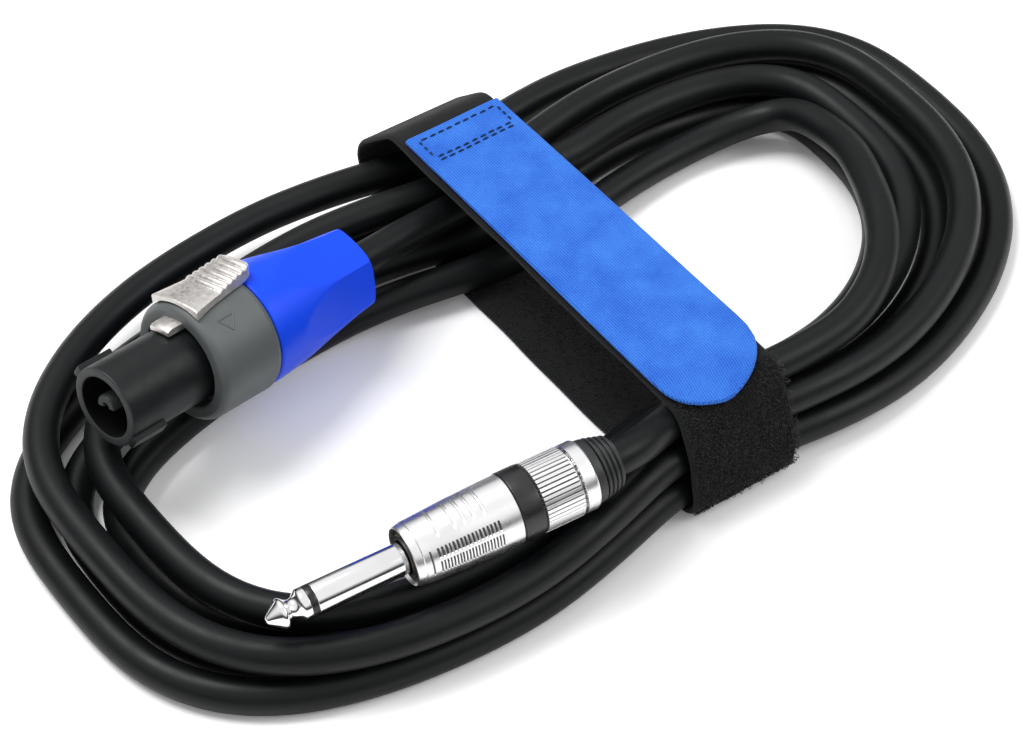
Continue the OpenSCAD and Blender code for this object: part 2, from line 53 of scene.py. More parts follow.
FIT_GAP = 0.3
FLAP_X = (-4.3, 20.2)
FLAP_END_Y = 47.0
FLAP_HINGE_Y = 36.0
FLAP_Z = 25.6       # underside of the flap
FLAP_SKEW = 0.02    # how far a station of the flap runs aslant, per millimetre of width
STRIP = "strip"     # the tapes' point attribute: across, along and through, in millimetres



def new_object(name, data):
    """A new object in the scene."""
    made = bpy.data.objects.new(name, data)
    bpy.context.scene.collection.objects.link(made)
    return made


# ---- camera


def make_camera():
    """The photograph's view: 45 degrees down, from the near left."""
    target_m = Vector((-0.015, -0.007, 0.010))
    azimuth, elevation, distance_m = math.radians(-35.2), math.radians(45), 0.611
    back = Vector((
        math.sin(azimuth) * math.cos(elevation),
        -math.cos(azimuth) * math.cos(elevation),
        math.sin(elevation),
    ))
    data = bpy.data.cameras.new("camera")
    data.lens = 106.98
    data.sensor_width = 36
    data.clip_start = 0.01
    camera = new_object("camera", data)
    camera.location = target_m + back * distance_m
    camera.rotation_euler = back.to_track_quat("Z", "Y").to_euler()
    bpy.context.scene.camera = camera


# ---- materials


def add_node(tree, kind, inputs=None, **settings):
    """A new node with its settings; an input is a value or the socket that feeds it."""
    node = tree.nodes.new(kind)
    for key, value in settings.items():
        setattr(node, key, value)
    for key, value in (inputs or {}).items():
        if isinstance(value, bpy.types.NodeSocket):
            tree.links.new(value, node.inputs[key])
        else:
            node.inputs[key].default_value = value
    return node


class Surface:
    """A Principled material and the few nodes that its colour, roughness and bump need."""

    def __init__(self, name, color, roughness, metallic=0.0, specular=0.5):
        self.material = bpy.data.materials.new(name)
        self.material.use_nodes = True
        self.tree = self.material.node_tree
        self.shader = self.tree.nodes["Principled BSDF"]
        self.set("Base Color", (*color, 1))
        self.set("Roughness", roughness)
        self.set("Metallic", metallic)
        self.set("Specular IOR Level", specular)
        self.last_bump = None

    def set(self, socket, value):
        """Feeds one of the shader's inputs from a value or from a socket."""
        if isinstance(value, bpy.types.NodeSocket):
            self.tree.links.new(value, self.shader.inputs[socket])
        else:
            self.shader.inputs[socket].default_value = value

    def node(self, kind, inputs=None, **settings):
        return add_node(self.tree, kind, inputs, **settings)

    def place(self):
        """The row frame's coordinates, in millimetres."""
        source = self.node("ShaderNodeTexCoord").outputs["Object"]
        inputs = {0: source, 1: (1 / MM,) * 3}
        return self.node("ShaderNodeVectorMath", inputs, operation="MULTIPLY").outputs[0]

    def place_on_strip(self):
        """A tape's own coordinates, in millimetres."""
        return self.node("ShaderNodeAttribute", attribute_name=STRIP).outputs["Vector"]

    def noise(self, size, detail=3.0, roughness=0.5, at=None):
        """Noise with features of about size millimetres."""
        at = at or self.place()
        inputs = {"Vector": at, "Scale": 1 / size, "Detail": detail, "Roughness": roughness}
        return self.node("ShaderNodeTexNoise", inputs).outputs["Fac"]

    def wave(self, pitch, at, direction):
        """Straight bands, one to each pitch in millimetres."""
        inputs = {"Vector": at, "Scale": math.pi / (10 * pitch)}
        return self.node("ShaderNodeTexWave", inputs, bands_direction=direction).outputs["Fac"]

    def levels(self, value, low, high, to_low, to_high):
        """The value, mapped from low..high to to_low..to_high."""
        inputs = {"Value": value, "From Min": low, "From Max": high, "To Min": to_low, "To Max": to_high}
        return self.node("ShaderNodeMapRange", inputs).outputs["Result"]

    def math(self, operation, a, b):
        return self.node("ShaderNodeMath", {0: a, 1: b}, operation=operation).outputs[0]

    def color(self, factor, a, b):
        """The base colour, from a at a factor of 0 to b at 1."""
        inputs = {0: factor, 6: (*a, 1), 7: (*b, 1)}     # the Mix node's factor and its two colours
        self.set("Base Color", self.node("ShaderNodeMix", inputs, data_type="RGBA").outputs[2])

    def bump(self, height, depth):
        """Adds a bump whose full height is depth millimetres."""
        inputs = {"Height": height, "Distance": depth * MM}
        if self.last_bump:
            inputs["Normal"] = self.last_bump
        self.last_bump = self.node("ShaderNodeBump", inputs).outputs["Normal"]
        self.set("Normal", self.last_bump)


def cable_pvc():
    """Flexible jacket: satin, hazed here and there, with a fine skin over slow unevenness."""
    s = Surface("cable_pvc", (0.004, 0.005, 0.0052), 0.42, specular=0.2)
    clear, hazed = (0.003, 0.0036, 0.0039), (0.006, 0.007, 0.0075)
    s.color(s.levels(s.noise(28, 4, 0.6), 0.35, 0.7, 0, 1), clear, hazed)
    s.set("Roughness", s.levels(s.noise(9, 5, 0.65), 0.3, 0.7, 0.36, 0.50))
    s.bump(s.noise(0.35, 3), 0.012)
    s.bump(s.noise(6, 2), 0.05)
    return s.material


def moulded(name, color, roughness, grain=0.25, depth=0.010, spread=0.12, specular=0.5):
    """Moulded plastic: fine spark-eroded grain and slight unevenness of colour."""
    s = Surface(name, color, roughness, specular=specular)
    darker = tuple(c * (1 - spread) for c in color)
    lighter = tuple(min(c * (1 + spread), 1) for c in color)
    s.color(s.levels(s.noise(5, 4, 0.6), 0.35, 0.65, 0, 1), darker, lighter)
    s.set("Roughness", s.levels(s.noise(2.5, 4), 0.3, 0.7, roughness - 0.05, roughness + 0.06))
    s.bump(s.noise(grain, 2), depth)
    return s.material


def plated(name, color, roughness, smear=0.05):
    """Nickel plating: bright, with faint smears and a little orange peel."""
    s = Surface(name, color, roughness, metallic=1.0)
    s.set("Roughness", s.levels(s.noise(3.5, 5, 0.7), 0.3, 0.7, roughness, roughness + smear))
    s.color(s.levels(s.noise(7, 3), 0.4, 0.7, 0, 1), color, tuple(c * 0.93 for c in color))
    s.bump(s.noise(1.2, 2), 0.004)
    return s.material


def cast_metal():
    """Die-cast and nickel plated: satin, blotched and finely pitted."""
    s = Surface("latch_metal", (0.72, 0.69, 0.66), 0.34, metallic=0.85)
    dull, clean = (0.60, 0.57, 0.55), (0.80, 0.77, 0.74)
    s.color(s.levels(s.noise(1.6, 5, 0.7), 0.35, 0.7, 0, 1), dull, clean)
    s.set("Roughness", s.levels(s.noise(0.8, 4), 0.3, 0.7, 0.28, 0.46))
    s.bump(s.noise(0.5, 4), 0.03)
    return s.material


def knit(name, dark, light, depth, sheen):
    """Narrow woven tape: fine ribs across it, crossed by threads, with uneven flecks."""
    pitch, fleck = 0.55, 0.5
    s = Surface(name, light, 0.9, specular=0.2)
    at = s.place_on_strip()
    ribs = s.wave(pitch, at, "X")
    threads = s.wave(pitch * 0.8, at, "Y")
    uneven = s.noise(pitch * 0.9, 3, 0.7, at)
    blotch = s.noise(9, 4, 0.6, at)
    weave = s.math("MULTIPLY", s.levels(ribs, 0, 1, 0.35, 1), s.levels(threads, 0, 1, 0.45, 1))
    height = s.math("ADD", weave, s.math("MULTIPLY", uneven, fleck))
    tone = s.math("ADD", s.levels(height, 0.3, 1.2, 0, 0.75), s.levels(blotch, 0.35, 0.65, 0, 0.25))
    s.color(tone, dark, light)
    s.set("Sheen Weight", sheen)
    s.set("Sheen Roughness", 0.45)
    s.bump(height, depth)
    return s.material


def plain_fabric(name, dark, light, sheen):
    """Pile or thread: matt, with a fluffy surface."""
    s = Surface(name, light, 0.95, specular=0.15)
    s.color(s.levels(s.noise(0.5, 4, 0.7), 0.35, 0.7, 0, 1), dark, light)
    s.set("Sheen Weight", sheen)
    s.set("Sheen Roughness", 0.5)
    s.bump(s.noise(0.45, 3, 0.7), 0.2)
    return s.material


PVC = cable_pvc()
CHARCOAL = moulded("nose_charcoal", (0.008, 0.0098, 0.0104), 0.42, depth=0.008, specular=0.22)
# Painted shade: a near-black paint for the inside of the nose's bore, where shade falls
BORE_SHADE = moulded("bore_painted_shade", (0.002, 0.002, 0.002), 0.8, specular=0.1)
GREY = moulded("housing_grey", (0.100, 0.112, 0.112), 0.50, grain=0.22, depth=0.014, spread=0.06)
BLUE = moulded("bushing_blue", (0.003, 0.072, 0.98), 0.40, grain=0.3, depth=0.010, spread=0.02, specular=0.25)
LATCH = cast_metal()
NICKEL = plated("bright_nickel", (0.86, 0.86, 0.87), 0.10)
SATIN_NICKEL = plated("satin_nickel", (0.84, 0.84, 0.85), 0.24, smear=0.10)
RIM_GREY = moulded("rim_grey", (0.027, 0.031, 0.032), 0.5, depth=0.006, specular=0.3)
RING_BLACK = moulded("ring_black", (0.010, 0.010, 0.011), 0.30, spread=0.2)
BOOT_BLACK = moulded("boot_rubber", (0.012, 0.013, 0.014), 0.48, spread=0.2)
BRASS = plated("contact_brass", (0.75, 0.58, 0.30), 0.28)
# Painted shade: a dark metal laid into the jack's engraved bars, knurl grooves and recesses, for the shade that
# falls in them
RECESS_SHADE = plated("painted_recess_shade", (0.10, 0.09, 0.085), 0.5)
STEEL = plated("screw_steel", (0.60, 0.60, 0.62), 0.30)
NATURAL = moulded("chuck_acetal", (0.70, 0.70, 0.66), 0.45)
CORE_RED = moulded("core_red", (0.45, 0.015, 0.012), 0.4)
CORE_BLACK = moulded("core_black", (0.010, 0.010, 0.010), 0.4)
TAPE_BLUE = knit("tape_blue", (0.005, 0.055, 0.50), (0.075, 0.31, 0.95), 0.16, 0.05)
TAPE_BLACK = knit("tape_black", (0.003, 0.003, 0.003), (0.017, 0.018, 0.019), 0.12, 0.10)
PILE_BLACK = plain_fabric("pile_black", (0.003, 0.003, 0.003), (0.020, 0.020, 0.021), 0.25)
PILE_LOOSE = plain_fabric("pile_loose", (0.010, 0.010, 0.011), (0.045, 0.046, 0.048), 0.3)
HOOK_BLACK = moulded("hook_black", (0.012, 0.012, 0.014), 0.5)
THREAD = plain_fabric("thread_blue", (0.005, 0.02, 0.07), (0.015, 0.055, 0.16), 0.1)

# ---- mesh helpers


def add_piece(name, vertices, faces, material, body, slot, replaced=(), smooth_deg=38):
    """A new object from points in millimetres, riding on a body."""
    mesh = bpy.data.meshes.new(name)
    mesh.from_pydata([Vector(v) * MM for v in vertices], [], faces)
    return finish_piece(name, mesh, material, body, replaced, smooth_deg)


def finish_piece(name, mesh, material, body, replaced=(), smooth_deg=38):
    shade(mesh, smooth_deg)
    mesh.materials.append(material)
    piece = new_object(name, mesh)
    if body:
        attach(piece, body)
    if replaced:
        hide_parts(*replaced)
    return piece


def shade(mesh, smooth_deg):
    """Smooth faces with sharp edges above an angle, and normals that point out."""
    bm = bmesh.new()
    bm.from_mesh(mesh)
    bmesh.ops.remove_doubles(bm, verts=bm.verts, dist=1e-7)
    bmesh.ops.recalc_face_normals(bm, faces=bm.faces)
    limit = math.radians(smooth_deg)
    for face in bm.faces:
        face.smooth = True
    for edge in bm.edges:
        edge.smooth = not (len(edge.link_faces) == 2 and edge.calc_face_angle(0) > limit)
    bm.to_mesh(mesh)
    bm.free()


def frame_at(back, turn):
    """The placement that part.scad gives a connector: translate(back) rotate(turn)."""
    turned_by = Euler([math.radians(a) for a in turn], "XYZ")
    return Matrix.Translation(back) @ turned_by.to_matrix().to_4x4()


SPEAKER = frame_at((-30.7, 29.1, 18.2), (14, -6.8, 191.6))
JACK = frame_at((-21.3, -49.2, 23.5), (0, 2.7, 174.8))


def rounded(outline, radius, steps=4):
    """Rounds the inner corners of an open outline; radius is one number or one per corner."""
    points = [outline[0]]
    for i in range(1, len(outline) - 1):
        a, b, c = (Vector(outline[k]) for k in (i - 1, i, i + 1))
        r = radius[i] if isinstance(radius, (list, tuple)) else radius
        cut_a = min(r, (a - b).length * 0.45)
        cut_c = min(r, (c - b).length * 0.45)
        p, q = b + (a - b).normalized() * cut_a, b + (c - b).normalized() * cut_c
        for k in range(steps + 1):
            t = k / steps
            points.append(tuple(p * (1 - t) ** 2 + b * 2 * t * (1 - t) + q * t * t))
    points.append(outline[-1])
    return points


def grid_faces(rows, columns, closed=False):
    """Four-sided faces between rows of points, each row a ring; closed joins the last row to the first."""
    faces = []
    for i in range(rows if closed else rows - 1):
        here, ahead = i * columns, (i + 1) % rows * columns
        for k in range(columns):
            beside = (k + 1) % columns
            faces.append((here + k, here + beside, ahead + beside, ahead + k))
    return faces


def capped_faces(rows, columns):
    """The same, with a face over each end."""
    last = columns * (rows - 1)
    ends = [tuple(range(columns)), tuple(reversed(range(last, last + columns)))]
    return grid_faces(rows, columns) + ends


def turned(
    name, place, outline, material, body, slot, replaced=(), segments=96, radius=None, smooth_deg=38, closed=False
):
    """Turned about the connector's X axis from an outline of (x, r); radius(x, r, angle) may shape it."""
    vertices = []
    for x, r in outline:
        for k in range(segments):
            angle = 2 * math.pi * k / segments
            rr = radius(x, r, angle) if radius else r
            vertices.append(place @ Vector((x, -rr * math.sin(angle), rr * math.cos(angle))))
    faces = grid_faces(len(outline), segments, closed)
    return add_piece(name, vertices, faces, material, body, slot, replaced, smooth_deg)


def repaint(piece, place, material, chosen):
    """Another material on the faces of a connector's piece where chosen(x, r, degrees round) is true."""
    materials = piece.data.materials
    if material.name not in materials:
        materials.append(material)
    index = materials.find(material.name)
    back = place.inverted()
    for face in piece.data.polygons:
        at = back @ (face.center / MM)
        around = math.degrees(math.atan2(-at.y, at.z)) % 360
        if chosen(at.x, math.hypot(at.y, at.z), around):
            face.material_index = index


def add_box(bm, place, low, high, bevel=0.0):
    """Adds a box between two corners, perhaps bevelled, to bm."""
    verts = bmesh.ops.create_cube(bm, size=1)["verts"]
    for v in verts:
        v.co = Vector((high[i] if v.co[i] > 0 else low[i] for i in range(3)))
    if bevel:
        edges = list({e for v in verts for e in v.link_edges})
        made = bmesh.ops.bevel(bm, geom=edges, offset=bevel, segments=3, affect="EDGES", profile=0.6)
        verts = list({v for f in made["faces"] for v in f.verts} | {v for v in verts if v.is_valid})
    for v in verts:
        v.co = place @ v.co


def mesh_from(name, bm):
    """A mesh in metres from a bmesh in millimetres, which is used up."""
    bmesh.ops.scale(bm, vec=(MM, MM, MM), verts=bm.verts)
    mesh = bpy.data.meshes.new(name)
    bm.to_mesh(mesh)
    bm.free()
    return mesh


# ---- the cable

RIGHT, FAR, LEFT, NEAR = range(4)
OVAL_CENTRE = (-3.9, 9.4)
ROUNDNESS = (2.73, 3.11)    # right end, left end
LEAN = 8.6
# What the tie draws each loop in by, where along X, and over what half length: far side, near side
WAIST = ((8.5, 11, 34.5), (7.7, 4, 29))
LAYER_RISE = 7.8
TURNS = (0.2, 5.44)
START, FALL, CLIMB = (0.16, 0.3), (0.20, 0.42), (3.33, 3.67)
EVEN_RINGS = 6
CLIMB_SWING, CLIMB_WIDTH = 2.6, 0.16
FLOOR_CUT = CABLE_D / 10
FIRST_PASS = (85, 46)
# Each lane is the first loop's distance, the step per turn, and the turn that it starts at
BOTTOM = ((90.4, 13.6, 1.25), (22.6, 10.5, 0.5), (94.1, 7.8, 0.75), (49, 8.2, 1))
TOP = ((106.7, -13.7, 4.25), (41.1, -10.6, 4.5), (103.6, -10.7, 3.75), (64.1, -8.5, 4))


def smooth(u):
    """Eases from 0 to 1."""
    u = min(max(u, 0), 1)
    return u * u * (3 - 2 * u)


def ramp(span, t):
    """How far t has come through a span, eased."""
    return smooth((t - span[0]) / (span[1] - span[0]))


def reach(side, t):
    """How far the cable is from the oval's centre on a side, at a turn."""
    if t < 0.5 and side == RIGHT:
        return FIRST_PASS[0]
    if t < 0.5 and side == NEAR:
        return FIRST_PASS[1]
    low = BOTTOM[side][0] + BOTTOM[side][1] * (t - BOTTOM[side][2])
    high = TOP[side][0] + TOP[side][1] * (t - TOP[side][2])
    f = 0 if t < 2 else ramp(CLIMB, t)
    swing = CLIMB_SWING * math.exp(-(((t - 3.5) / CLIMB_WIDTH) ** 2)) if side == FAR else 0
    return low + (high - low) * f + swing


def layer(t):
    """0 on the lower layer and 1 on the upper; the start lies on top of both."""
    return 2 - ramp(START, t) - ramp(FALL, t) if t < 2 else ramp(CLIMB, t)


def band_lift(x):
    """How far the tie's lower strap lifts the cable off the floor."""
    return (BAND_T + FIT_GAP + FLOOR_CUT) * (1 - ramp((20, 60), abs(x - sum(BAND_X) / 2)))


def hank_point(t):
    """The cable's centre at a turn: a rounded oval, drawn in at the tie."""
    around = 360 * (t - 0.25)
    a = math.radians(around + EVEN_RINGS * math.sin(math.radians(2 * around)))
    c, s = math.cos(a), math.sin(a)
    power = 2 / ROUNDNESS[0 if c >= 0 else 1]
    along = math.copysign(abs(c) ** power, c)
    across = math.copysign(abs(s) ** power, s)
    x = OVAL_CENTRE[0] + along * reach(RIGHT if c >= 0 else LEFT, t)
    amount, middle, half_length = WAIST[0 if s >= 0 else 1]
    drawn_in = across * amount * math.exp(-(((x - middle) / half_length) ** 2))
    y = OVAL_CENTRE[1] + across * reach(FAR if s >= 0 else NEAR, t) + LEAN * c - drawn_in
    return Vector((x, y, CABLE_D / 2 - FLOOR_CUT + LAYER_RISE * layer(t) + band_lift(x)))


def between(p, q, start, end, t):
    """From p, where t is at its start, to q at its end."""
    return p * ((end - t) / (end - start)) + q * ((t - start) / (end - start))


def curve_through(points, step):
    """A centripetal Catmull-Rom curve through the points, resampled to even steps."""
    p = [2 * points[0] - points[1], *points, 2 * points[-1] - points[-2]]
    dense = []
    for i in range(1, len(p) - 2):
        knots = [0.0]
        for k in range(i - 1, i + 2):
            knots.append(knots[-1] + max((p[k + 1] - p[k]).length, 1e-6) ** 0.5)
        count = max(2, int((p[i + 1] - p[i]).length / 0.5))
        for k in range(count):
            t = knots[1] + (knots[2] - knots[1]) * k / count
            a = [between(p[i - 1 + j], p[i + j], knots[j], knots[j + 1], t) for j in range(3)]
            b = [between(a[j], a[j + 1], knots[j], knots[j + 2], t) for j in range(2)]
            dense.append(between(b[0], b[1], knots[1], knots[2], t))
    dense.append(p[-2])
    return resampled(dense, step)


def resampled(points, step):
    """The same line with its points evenly spaced, about a step apart."""
    array = np.array([tuple(p) for p in points])
    at = np.r_[0, np.cumsum(np.linalg.norm(np.diff(array, axis=0), axis=1))]
    even = np.linspace(0, at[-1], max(2, int(round(at[-1] / step)) + 1))
    return [Vector([float(np.interp(e, at, array[:, k])) for k in range(array.shape[1])]) for e in even]


def relaxed(points, rounds):
    """Evens out the bends of an evenly sampled line, with its ends held."""
    array = np.array([tuple(p) for p in points])
    for _ in range(rounds):
        array[1:-1] = 0.5 * array[1:-1] + 0.25 * (array[:-2] + array[2:])
    return [Vector(p) for p in array]


def tube(points, radius, sides):
    """Vertices and faces of a tube that doesn't twist."""
    vertices = []
    last = len(points) - 1
    tangents = [(points[min(i + 1, last)] - points[max(i - 1, 0)]).normalized() for i in range(last + 1)]
    side = tangents[0].orthogonal().normalized()
    for i, (point, tangent) in enumerate(zip(points, tangents)):
        side = (side - tangent * side.dot(tangent)).normalized()
        up = tangent.cross(side)
        r = radius(i) if callable(radius) else radius
        for k in range(sides):
            angle = 2 * math.pi * k / sides
            vertices.append(point + side * (r * math.cos(angle)) + up * (r * math.sin(angle)))
    faces = grid_faces(len(points), sides)
    faces += [tuple(reversed(range(sides))), tuple(range(len(vertices) - sides, len(vertices)))]
    return vertices, faces


class Many:
    """Many small pieces gathered into one mesh."""

    def __init__(self):
        self.vertices, self.faces = [], []

    def add(self, vertices, faces):
        start = len(self.vertices)
        self.vertices += vertices
        self.faces += [tuple(start + k for k in face) for face in faces]

    def tube(self, points, radius, sides):
        self.add(*tube(points, radius, sides))

    def piece(self, name, *look, **more):
        """The whole of it as one piece, with add_piece's other arguments."""
        return add_piece(name, self.vertices, self.faces, *look, **more)

    def loft(self, rows, place):
        """Adds a closed form through rows of points, each row a ring."""
        self.add([place @ p for row in rows for p in row], capped_faces(len(rows), len(rows[0])))

    def box(self, xs, ys, zs, place=Matrix.Identity(4)):
        """Adds a box between the two values given for each axis."""
        corners = [place @ Vector((x, y, z)) for x in xs for y in ys for z in zs]
        self.add(corners, [(0, 1, 3, 2), (4, 6, 7, 5), (0, 4, 5, 1), (2, 3, 7, 6), (0, 2, 6, 4), (1, 5, 7, 3)])


JACKET_END_SPEAKER, JACKET_END_JACK = 24, 20    # how far the jacket reaches into each connector
# The points that the two free stretches go through, in the order of the route
SPEAKER_LEAD = ((14, 36, 13.6), (-2, 35, 14.2), (-14, 33, 15.6))
JACK_LEAD = (
    (-14.5, -48.7, 22.9), (-10, -46.9, 21.6), (-5, -44.6, 19.8), (3, -43.6, 19.4), (16, -43.4, 19.3),
    (30, -43.6, 19), (42, -42.2, 18.8), (51, -38.6, 19.4), (58.6, -33.2, 19.8), (64.8, -26.4, 19.8),
    (69.2, -19.4, 19.6)
)


def cable_route():
    """Jack plug, free stretch, hank, free stretch, speaker connector."""
    at_jack = [JACK @ Vector((x, 0, 0)) for x in (JACKET_END_JACK, 14, 8, 2.5, -3)]
    at_speaker = [SPEAKER @ Vector((x, 0, 0)) for x in (-6, 1, 8, 16, JACKET_END_SPEAKER)]
    steps = 320
    turns = [TURNS[0] + (TURNS[1] - TURNS[0]) * k / steps for k in range(steps + 1)]
    hank = [hank_point(t) for t in turns]
    points = at_jack + [Vector(p) for p in JACK_LEAD] + hank + [Vector(p) for p in SPEAKER_LEAD] + at_speaker
    return relaxed(curve_through(points, 1.8), 6)


def make_cable():
    path = cable_route()
    vertices, faces = tube(path, CABLE_D / 2, 24)
    stands_for = ("cable_hank", "speaker_lead", "jack_lead")
    piece = add_piece("cable", vertices, faces, PVC, "root", "cable_jacket", stands_for)
    length = sum((b - a).length for a, b in zip(path, path[1:]))
    return piece, path, length


# ---- speaker connector

NOSE_FRONT, HOUSING_FRONT, BUSHING_LEN = 65.0, 45.4, 30.0
NOSE_R, BORE_R, HOUSING_R = 8.4, 6.4, 12.8


def on_angle(angle_deg, x, r):
    """A point of a connector at an angle from its local +Z, turning towards -Y."""
    a = math.radians(angle_deg)
    return Vector((x, -r * math.sin(a), r * math.cos(a)))


def make_nose():
    """The nose, with its bore painted near black as painted shade, and a paler rim."""
    back, step, bore_back, bore_edge = 37, 42.2, 48, BORE_R + 0.12
    outline = rounded([
        (back, 7.8), (step, 7.8), (step, NOSE_R), (NOSE_FRONT, NOSE_R), (NOSE_FRONT, BORE_R),
        (bore_back, BORE_R), (bore_back, 0.01)
    ], [0, 0.1, 0.1, 0.5, 0.45, 0.1, 0])
    nose = turned("speaker_nose", SPEAKER, outline, CHARCOAL, "root", "nose_plastic", ("speaker_insert",), 120)
    # Painted shade: the bore's faces are painted near black for the shade deep inside it
    repaint(nose, SPEAKER, BORE_SHADE, lambda x, r, a: x > bore_back - 0.5 and r < bore_edge)
    repaint(nose, SPEAKER, RIM_GREY, lambda x, r, a: x > NOSE_FRONT - 0.3 and r >= bore_edge)


def make_nose_lugs():
    """The two ridges that turn in the socket."""
    name, bm = "speaker_nose_lugs", bmesh.new()
    length, width, height = 8.2, 3.0, 1.0
    for angle in (49, 229):
        place = SPEAKER @ Matrix.Rotation(math.radians(angle), 4, "X")
        low = (NOSE_FRONT - length, -width / 2, NOSE_R - 0.8)
        high = (NOSE_FRONT - 0.1, width / 2, NOSE_R + height)
        add_box(bm, place, low, high, 0.28)
    finish_piece(name, mesh_from(name, bm), CHARCOAL, "root")


def make_nose_key():
    """The arched key that stands in the socket."""
    outer, inner, low, steps = 2.4, 0.7, 0.2, 16
    rings = []
    for x, shrink in ((47.6, 0), (64.3, 0), (64.6, 0.2)):
        ring = []
        for r, order in ((outer - shrink, range(steps + 1)), (inner + shrink, range(steps, -1, -1))):
            half_arc = 90 + math.degrees(math.asin(low / r))
            ring += [on_angle(-half_arc + 2 * half_arc * k / steps, x, r) for k in order]
        rings.append(ring)
    n = len(rings[0])
    vertices = [SPEAKER @ p for ring in rings for p in ring]
    faces = grid_faces(len(rings), n)
    faces += [(2 * n + k, 2 * n + k + 1, 3 * n - 2 - k, 3 * n - 1 - k) for k in range(steps)]
    add_piece("speaker_nose_key", vertices, faces, RIM_GREY, "root", "nose_plastic")


def cut_away(piece, name, low, high):
    """Cuts a box, given by two corners in the speaker connector's frame, out of a closed piece."""
    bm = bmesh.new()
    add_box(bm, SPEAKER, low, high)
    bmesh.ops.recalc_face_normals(bm, faces=bm.faces)
    cutter = new_object(name, mesh_from(name, bm))
    modifier = piece.modifiers.new("cut", "BOOLEAN")
    modifier.operation, modifier.object, modifier.solver = "DIFFERENCE", cutter, "EXACT"
    bpy.context.view_layer.update()
    result = bpy.data.meshes.new_from_object(piece.evaluated_get(bpy.context.evaluated_depsgraph_get()))
    piece.modifiers.remove(modifier)
    bpy.data.objects.remove(cutter)
    old = piece.data
    piece.data = result
    result.name = piece.name
    bpy.data.meshes.remove(old)
    shade(result, 32)


def make_housing():
    """The housing, open over the nose for the latch's tongue and on top for its web."""
    front, back = HOUSING_FRONT, BUSHING_LEN + 0.05
    outline = rounded([
        (back, 8.2), (back, 12.35), (back + 0.6, 12.55), (back + 0.9, HOUSING_R),
        (front - 1.1, HOUSING_R), (front, HOUSING_R - 1.0), (front, 9.75), (front - 0.5, 9.45),
        (front - 3.4, 9.3), (front - 3.4, 8.2)
    ], [0, 0.1, 0.2, 0.3, 0.9, 0.5, 0.2, 0.2, 0.1, 0])
    name, stands_for = "speaker_housing_shell", ("speaker_housing",)
    housing = turned(name, SPEAKER, outline, GREY, "root", "housing_grey", stands_for, 144, closed=True)
    cut_away(housing, "mouth_cutter", (38.0, -3.45, 7.6), (front + 2, 3.45, 10.9))
    cut_away(housing, "slot_cutter", (31.5, -3.3, 7.6), (41.4, 3.3, 14.5))


def make_triangle():
    """The small raised outline triangle on the housing's side."""
    many, steps, r = Many(), 8, HOUSING_R - 0.02
    corners = [(40.9, -39), (37.0, -39), (38.95, -52.3)]        # x, angle
    for (xa, aa), (xb, ab) in zip(corners, corners[1:] + corners[:1]):
        path = [on_angle(aa + (ab - aa) * k / steps, xa + (xb - xa) * k / steps, r) for k in range(steps + 1)]
        many.tube([SPEAKER @ p for p in path], 0.16, 8)
    many.piece("speaker_triangle_mark", GREY, "root", "housing_grey")


PAD_OUTLINE = ((44.5, 6.65), (41.5, 6.0), (38.6, 5.45), (34, 4.85), (28.9, 4.3))    # x, half width


def make_latch():
    """The thumb pad: crowned across, with wavy ridges that climb to its rounded tail."""
    front, tail, rounding = 44.5, 26.7, 2.4
    stations, across = 170, 30
    ridge_from, pitch, ridges = 37.4, 1.55, 6
    xs, half_widths = zip(*reversed(PAD_OUTLINE))

    def half_width(x):
        w = float(np.interp(x, xs, half_widths))
        u = max(0.0, (tail + rounding - x) / rounding)
        return w * math.sqrt(max(1 - u * u, 0.004))

    def top(x, y):
        crown = 13.95 - y * y / 62
        phase = (ridge_from - 0.022 * y * y - x) / pitch
        rise = 0.22 * min(max(phase, 0), ridges)
        ridge = 0.0
        if 0 < phase < ridges:
            f = phase - math.floor(phase)
            ridge = 0.52 * math.sin(math.pi * f ** 0.75) ** 1.2 * (1 - 0.25 * (abs(y) / 5) ** 2)
        end = max(0.0, (tail + 1.3 - x) / 1.3)
        start = max(0.0, (x - (front - 0.3)) / 0.3)
        return crown + rise + ridge - 0.9 * end * end - 0.16 * start * start

    def bottom(x, y):
        tail_rise = 0.75 * smooth((31 - x) / 4)
        return math.sqrt(13.12 ** 2 - y * y) + tail_rise

    rows = []
    for i in range(stations + 1):
        x = front - (front - tail) * i / stations
        w = half_width(x)
        spread = [-1 + 2 * k / across for k in range(across + 1)]
        places = [(v, w * math.copysign(abs(v) ** 0.8, v)) for v in spread]
        row = [Vector((x, y, top(x, y) - 0.22 * abs(v) ** 16)) for v, y in places]
        rows.append(row + [Vector((x, y, bottom(x, y))) for v, y in reversed(places)])
    pad = Many()
    pad.loft(rows, SPEAKER)
    pad.piece("speaker_latch_pad", LATCH, "speaker_latch", "latch_metal", ("speaker_latch",), 28)


def make_tongue():
    """The latch's tongue over the nose, arched like the slot it comes out of, and the web under the pad."""
    half, low, high, x0, x1, across = 2.65, 8.82, 10.25, 36.0, HOUSING_FRONT + 3.7, 10
    ys = [half * (-1 + 2 * k / across) for k in range(across + 1)]
    rows = []
    for x, drop in ((x0, 0), (x1 - 1.5, 0), (x1 - 0.5, 0.12), (x1 - 0.1, 0.4), (x1, 0.75)):
        row = [Vector((x, y, high - drop - y * y / 22)) for y in ys]
        rows.append(row + [Vector((x, y, low - y * y / 40)) for y in reversed(ys)])
    many = Many()
    many.loft(rows, SPEAKER)
    many.box((36, 41), (-3, 3), (9.2, 13.3), SPEAKER)
    many.piece("speaker_latch_tongue", LATCH, "speaker_latch", "latch_metal")


